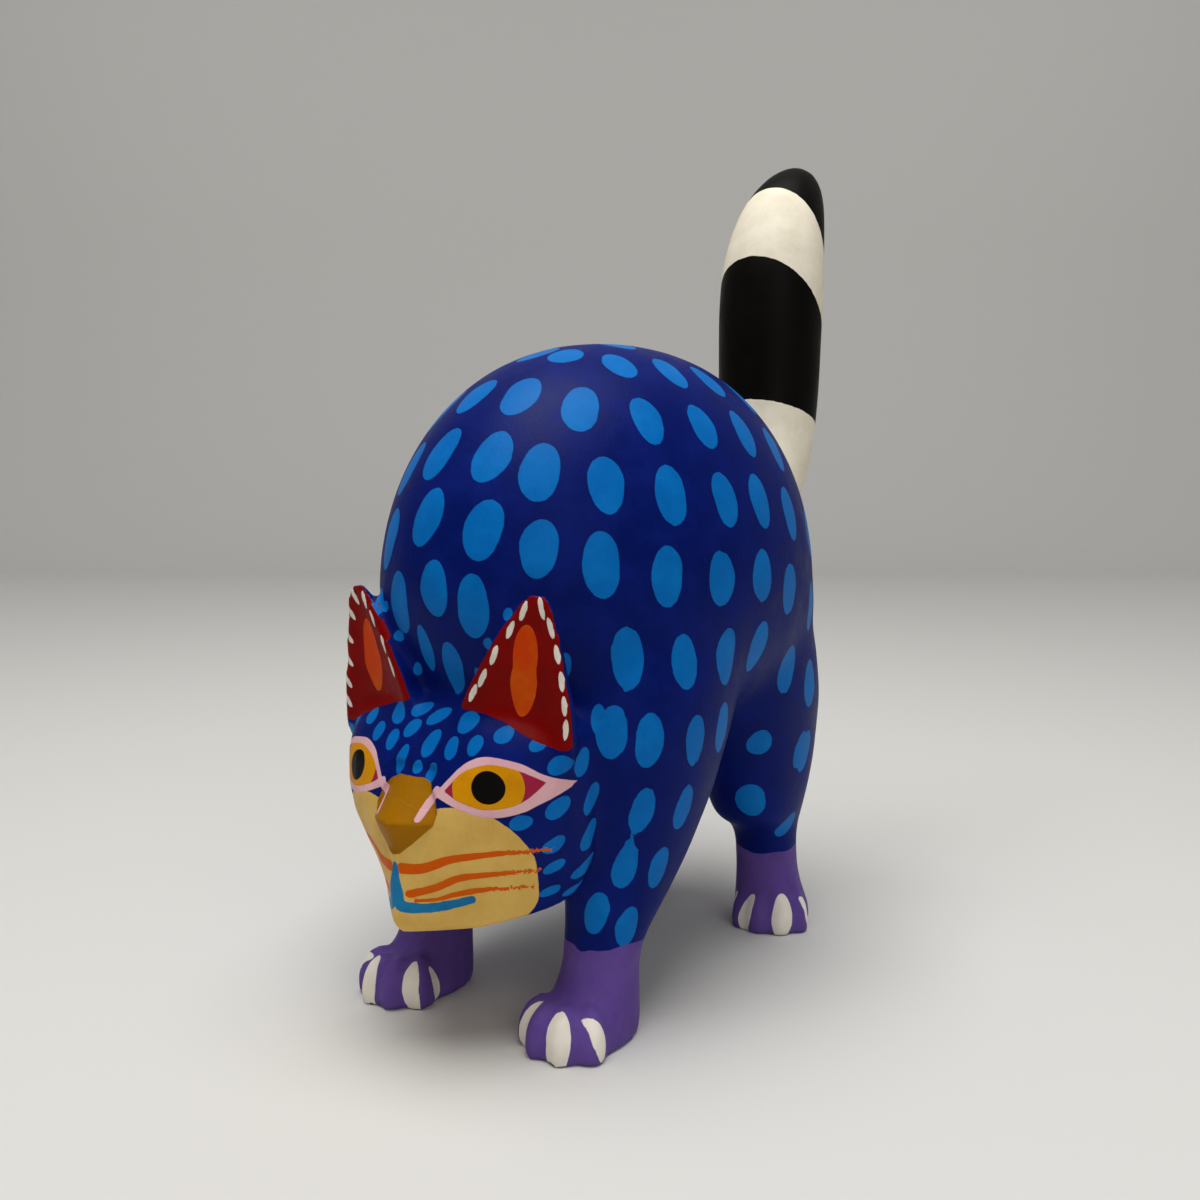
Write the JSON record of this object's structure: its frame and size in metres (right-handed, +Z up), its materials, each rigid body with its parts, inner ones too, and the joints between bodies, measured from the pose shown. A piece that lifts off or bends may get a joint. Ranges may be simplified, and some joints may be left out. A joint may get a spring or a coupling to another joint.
{
  "type": "wooden cat figurine",
  "caption": "Carved wooden cat standing on four legs with a low head, a high arched back and an upright tail, painted all over with oval spots.",
  "frame": {"origin": "on the floor, below the middle of the bounding box", "axes": "+Z up, the cat faces -Y, its left side is towards +X"},
  "size_m": [0.1417, 0.3008, 0.3456],
  "materials": {
    "painted_wood": "satin acrylic paint, ultramarine with light-blue ovals, brushed on by hand"
  },
  "bodies": {
    "root": {"carved_cat": "painted_wood"}
  },
  "joints": []
}
